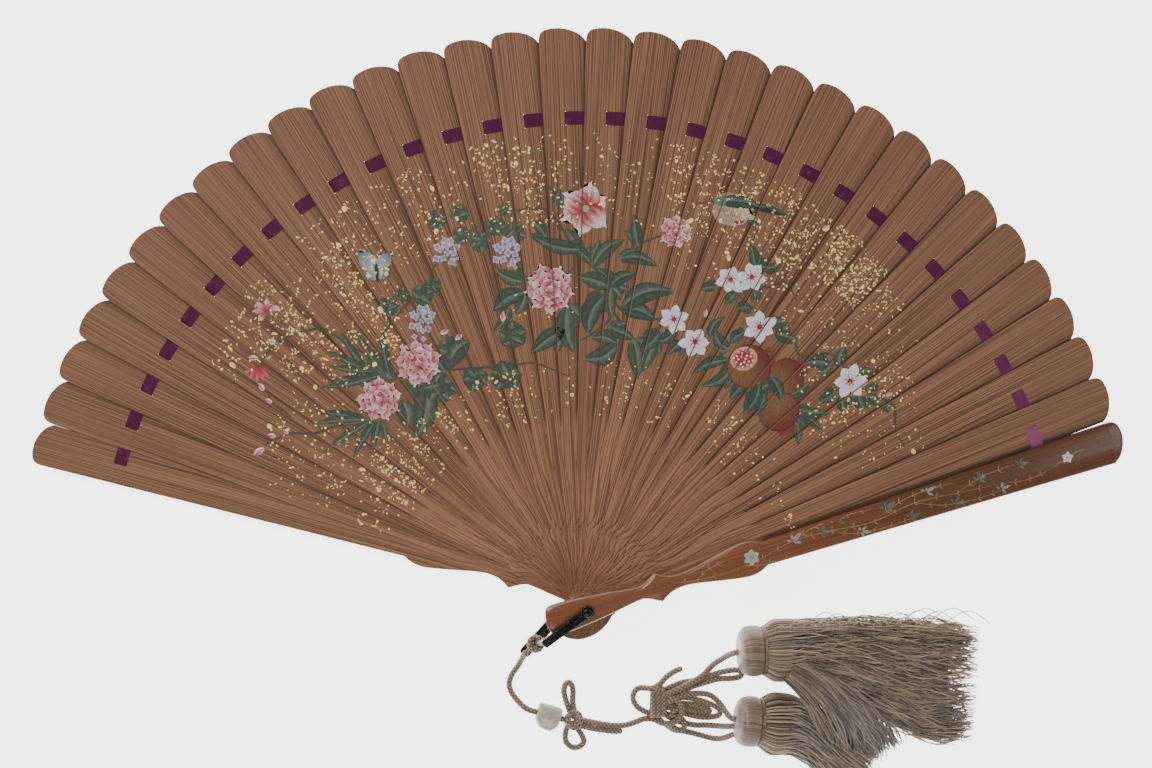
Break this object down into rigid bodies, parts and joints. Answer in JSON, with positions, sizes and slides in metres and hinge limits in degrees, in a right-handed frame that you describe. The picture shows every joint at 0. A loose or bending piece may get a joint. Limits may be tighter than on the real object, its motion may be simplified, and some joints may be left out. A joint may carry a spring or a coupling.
{
  "type": "hand fan",
  "caption": "Brise folding fan: thin wooden leaves on a rivet, ribbon laced, lacquered guards, swivelling metal bail, braided silk cord with stone bead, knots and tassels",
  "frame": {"origin": "the middle of the rivet's rear face, in the plane that the fan rests on", "axes": "+X along the open fan's width towards the front guard, +Y along the middle of the open fan from the rivet, +Z along the rivet from the rear guard to the front guard"},
  "size_m": [0.443, 0.3318, 0.0345],
  "materials": {
    "plain_wood": "fine straight grain, satin, painted and gold flecked",
    "lacquered_wood": "glossy clear lacquer over red-brown wood",
    "ribbon_silk": "woven satin ribbon",
    "dark_metal": "dark oxidised, worn bright at the edges",
    "cord_silk": "tightly braided silk",
    "tassel_silk": "loose twisted silk threads with a soft sheen",
    "bead_stone": "polished, slightly translucent"
  },
  "bodies": {
    "rear_guard": {"rear_guard": "lacquered_wood", "ribbon": "ribbon_silk", "rivet": "dark_metal", "cord_lead": "cord_silk", "bow_knot": "cord_silk", "cord_middle": "cord_silk", "cord_middle_return": "cord_silk", "big_knot": "cord_silk", "cord_small_loop": "cord_silk", "cord_tail": "cord_silk", "upper_fold": "cord_silk", "lower_fold": "cord_silk", "upper_tassel_cord": "cord_silk", "lower_tassel_cord_1": "cord_silk", "lower_tassel_cord_2": "cord_silk", "lower_tassel_cord_3": "cord_silk", "upper_tassel_cap": "tassel_silk", "upper_tassel_collar": "tassel_silk", "upper_tassel_skirt": "tassel_silk", "lower_tassel_cap": "tassel_silk", "lower_tassel_collar": "tassel_silk", "lower_tassel_skirt": "tassel_silk"},
    "blade_01": {"blade_01": "plain_wood"},
    "blade_02": {"blade_02": "plain_wood"},
    "blade_03": {"blade_03": "plain_wood"},
    "blade_04": {"blade_04": "plain_wood"},
    "blade_05": {"blade_05": "plain_wood"},
    "blade_06": {"blade_06": "plain_wood"},
    "blade_07": {"blade_07": "plain_wood"},
    "blade_08": {"blade_08": "plain_wood"},
    "blade_09": {"blade_09": "plain_wood"},
    "blade_10": {"blade_10": "plain_wood"},
    "blade_11": {"blade_11": "plain_wood"},
    "blade_12": {"blade_12": "plain_wood"},
    "blade_13": {"blade_13": "plain_wood"},
    "blade_14": {"blade_14": "plain_wood"},
    "blade_15": {"blade_15": "plain_wood"},
    "blade_16": {"blade_16": "plain_wood"},
    "blade_17": {"blade_17": "plain_wood"},
    "blade_18": {"blade_18": "plain_wood"},
    "blade_19": {"blade_19": "plain_wood"},
    "blade_20": {"blade_20": "plain_wood"},
    "blade_21": {"blade_21": "plain_wood"},
    "blade_22": {"blade_22": "plain_wood"},
    "blade_23": {"blade_23": "plain_wood"},
    "blade_24": {"blade_24": "plain_wood"},
    "blade_25": {"blade_25": "plain_wood"},
    "blade_26": {"blade_26": "plain_wood"},
    "blade_27": {"blade_27": "plain_wood"},
    "blade_28": {"blade_28": "plain_wood"},
    "blade_29": {"blade_29": "plain_wood"},
    "blade_30": {"blade_30": "plain_wood"},
    "front_guard": {"front_guard": "lacquered_wood"},
    "bail": {"bail_front_arm": "dark_metal", "bail_rear_arm": "dark_metal", "bail_pin": "dark_metal", "bail_end_rivet": "dark_metal", "cord_ring": "cord_silk"},
    "bead": {"bead": "bead_stone"}
  },
  "joints": [
    {"name": "fan_fold", "type": "hinge", "parent": "rear_guard", "child": "front_guard", "pos_m": [0, 0, 0.0301], "axis": [0, 0, 1], "range_deg": [0, 146], "deforming": ["ribbon"]},
    {"name": "blade_01_turn", "type": "hinge", "parent": "rear_guard", "child": "blade_01", "pos_m": [0, 0, 0.00637], "axis": [0, 0, 1], "range_deg": [0, 4.72]},
    {"name": "blade_02_turn", "type": "hinge", "parent": "rear_guard", "child": "blade_02", "pos_m": [0, 0, 0.00713], "axis": [0, 0, 1], "range_deg": [0, 9.43]},
    {"name": "blade_03_turn", "type": "hinge", "parent": "rear_guard", "child": "blade_03", "pos_m": [0, 0, 0.00788], "axis": [0, 0, 1], "range_deg": [0, 14.14]},
    {"name": "blade_04_turn", "type": "hinge", "parent": "rear_guard", "child": "blade_04", "pos_m": [0, 0, 0.00863], "axis": [0, 0, 1], "range_deg": [0, 18.85]},
    {"name": "blade_05_turn", "type": "hinge", "parent": "rear_guard", "child": "blade_05", "pos_m": [0, 0, 0.00937], "axis": [0, 0, 1], "range_deg": [0, 23.56]},
    {"name": "blade_06_turn", "type": "hinge", "parent": "rear_guard", "child": "blade_06", "pos_m": [0, 0, 0.01013], "axis": [0, 0, 1], "range_deg": [0, 28.27]},
    {"name": "blade_07_turn", "type": "hinge", "parent": "rear_guard", "child": "blade_07", "pos_m": [0, 0, 0.01087], "axis": [0, 0, 1], "range_deg": [0, 32.98]},
    {"name": "blade_08_turn", "type": "hinge", "parent": "rear_guard", "child": "blade_08", "pos_m": [0, 0, 0.01162], "axis": [0, 0, 1], "range_deg": [0, 37.69]},
    {"name": "blade_09_turn", "type": "hinge", "parent": "rear_guard", "child": "blade_09", "pos_m": [0, 0, 0.01238], "axis": [0, 0, 1], "range_deg": [0, 42.4]},
    {"name": "blade_10_turn", "type": "hinge", "parent": "rear_guard", "child": "blade_10", "pos_m": [0, 0, 0.01312], "axis": [0, 0, 1], "range_deg": [0, 47.11]},
    {"name": "blade_11_turn", "type": "hinge", "parent": "rear_guard", "child": "blade_11", "pos_m": [0, 0, 0.01388], "axis": [0, 0, 1], "range_deg": [0, 51.82]},
    {"name": "blade_12_turn", "type": "hinge", "parent": "rear_guard", "child": "blade_12", "pos_m": [0, 0, 0.01463], "axis": [0, 0, 1], "range_deg": [0, 56.53]},
    {"name": "blade_13_turn", "type": "hinge", "parent": "rear_guard", "child": "blade_13", "pos_m": [0, 0, 0.01537], "axis": [0, 0, 1], "range_deg": [0, 61.24]},
    {"name": "blade_14_turn", "type": "hinge", "parent": "rear_guard", "child": "blade_14", "pos_m": [0, 0, 0.01613], "axis": [0, 0, 1], "range_deg": [0, 65.95]},
    {"name": "blade_15_turn", "type": "hinge", "parent": "rear_guard", "child": "blade_15", "pos_m": [0, 0, 0.01688], "axis": [0, 0, 1], "range_deg": [0, 70.66]},
    {"name": "blade_16_turn", "type": "hinge", "parent": "rear_guard", "child": "blade_16", "pos_m": [0, 0, 0.01762], "axis": [0, 0, 1], "range_deg": [0, 75.36]},
    {"name": "blade_17_turn", "type": "hinge", "parent": "rear_guard", "child": "blade_17", "pos_m": [0, 0, 0.01837], "axis": [0, 0, 1], "range_deg": [0, 80.07]},
    {"name": "blade_18_turn", "type": "hinge", "parent": "rear_guard", "child": "blade_18", "pos_m": [0, 0, 0.01912], "axis": [0, 0, 1], "range_deg": [0, 84.78]},
    {"name": "blade_19_turn", "type": "hinge", "parent": "rear_guard", "child": "blade_19", "pos_m": [0, 0, 0.01988], "axis": [0, 0, 1], "range_deg": [0, 89.49]},
    {"name": "blade_20_turn", "type": "hinge", "parent": "rear_guard", "child": "blade_20", "pos_m": [0, 0, 0.02063], "axis": [0, 0, 1], "range_deg": [0, 94.2]},
    {"name": "blade_21_turn", "type": "hinge", "parent": "rear_guard", "child": "blade_21", "pos_m": [0, 0, 0.02138], "axis": [0, 0, 1], "range_deg": [0, 98.91]},
    {"name": "blade_22_turn", "type": "hinge", "parent": "rear_guard", "child": "blade_22", "pos_m": [0, 0, 0.02212], "axis": [0, 0, 1], "range_deg": [0, 103.62]},
    {"name": "blade_23_turn", "type": "hinge", "parent": "rear_guard", "child": "blade_23", "pos_m": [0, 0, 0.02287], "axis": [0, 0, 1], "range_deg": [0, 108.33]},
    {"name": "blade_24_turn", "type": "hinge", "parent": "rear_guard", "child": "blade_24", "pos_m": [0, 0, 0.02363], "axis": [0, 0, 1], "range_deg": [0, 113.04]},
    {"name": "blade_25_turn", "type": "hinge", "parent": "rear_guard", "child": "blade_25", "pos_m": [0, 0, 0.02438], "axis": [0, 0, 1], "range_deg": [0, 117.75]},
    {"name": "blade_26_turn", "type": "hinge", "parent": "rear_guard", "child": "blade_26", "pos_m": [0, 0, 0.02513], "axis": [0, 0, 1], "range_deg": [0, 122.46]},
    {"name": "blade_27_turn", "type": "hinge", "parent": "rear_guard", "child": "blade_27", "pos_m": [0, 0, 0.02587], "axis": [0, 0, 1], "range_deg": [0, 127.17]},
    {"name": "blade_28_turn", "type": "hinge", "parent": "rear_guard", "child": "blade_28", "pos_m": [0, 0, 0.02662], "axis": [0, 0, 1], "range_deg": [0, 131.88]},
    {"name": "blade_29_turn", "type": "hinge", "parent": "rear_guard", "child": "blade_29", "pos_m": [0, 0, 0.02738], "axis": [0, 0, 1], "range_deg": [0, 136.59]},
    {"name": "blade_30_turn", "type": "hinge", "parent": "rear_guard", "child": "blade_30", "pos_m": [0, 0, 0.02813], "axis": [0, 0, 1], "range_deg": [0, 141.3]},
    {"name": "bail_swivel", "type": "hinge", "parent": "rear_guard", "child": "bail", "pos_m": [0, 0, 0.017], "axis": [0, 0, 1], "range_deg": [-35, 130], "deforming": ["cord_lead"]},
    {"name": "bead_slide", "type": "slide", "parent": "rear_guard", "child": "bead", "axis": [-0.9537, 0.3007, 0], "range_m": [0, 0.003]}
  ],
  "couplings": [
    {"joint": "blade_01_turn", "follows": "fan_fold", "ratio": 0.032258},
    {"joint": "blade_02_turn", "follows": "fan_fold", "ratio": 0.064516},
    {"joint": "blade_03_turn", "follows": "fan_fold", "ratio": 0.096774},
    {"joint": "blade_04_turn", "follows": "fan_fold", "ratio": 0.12903},
    {"joint": "blade_05_turn", "follows": "fan_fold", "ratio": 0.16129},
    {"joint": "blade_06_turn", "follows": "fan_fold", "ratio": 0.19355},
    {"joint": "blade_07_turn", "follows": "fan_fold", "ratio": 0.22581},
    {"joint": "blade_08_turn", "follows": "fan_fold", "ratio": 0.25806},
    {"joint": "blade_09_turn", "follows": "fan_fold", "ratio": 0.29032},
    {"joint": "blade_10_turn", "follows": "fan_fold", "ratio": 0.32258},
    {"joint": "blade_11_turn", "follows": "fan_fold", "ratio": 0.35484},
    {"joint": "blade_12_turn", "follows": "fan_fold", "ratio": 0.3871},
    {"joint": "blade_13_turn", "follows": "fan_fold", "ratio": 0.41935},
    {"joint": "blade_14_turn", "follows": "fan_fold", "ratio": 0.45161},
    {"joint": "blade_15_turn", "follows": "fan_fold", "ratio": 0.48387},
    {"joint": "blade_16_turn", "follows": "fan_fold", "ratio": 0.51613},
    {"joint": "blade_17_turn", "follows": "fan_fold", "ratio": 0.54839},
    {"joint": "blade_18_turn", "follows": "fan_fold", "ratio": 0.58065},
    {"joint": "blade_19_turn", "follows": "fan_fold", "ratio": 0.6129},
    {"joint": "blade_20_turn", "follows": "fan_fold", "ratio": 0.64516},
    {"joint": "blade_21_turn", "follows": "fan_fold", "ratio": 0.67742},
    {"joint": "blade_22_turn", "follows": "fan_fold", "ratio": 0.70968},
    {"joint": "blade_23_turn", "follows": "fan_fold", "ratio": 0.74194},
    {"joint": "blade_24_turn", "follows": "fan_fold", "ratio": 0.77419},
    {"joint": "blade_25_turn", "follows": "fan_fold", "ratio": 0.80645},
    {"joint": "blade_26_turn", "follows": "fan_fold", "ratio": 0.83871},
    {"joint": "blade_27_turn", "follows": "fan_fold", "ratio": 0.87097},
    {"joint": "blade_28_turn", "follows": "fan_fold", "ratio": 0.90323},
    {"joint": "blade_29_turn", "follows": "fan_fold", "ratio": 0.93548},
    {"joint": "blade_30_turn", "follows": "fan_fold", "ratio": 0.96774}
  ]
}
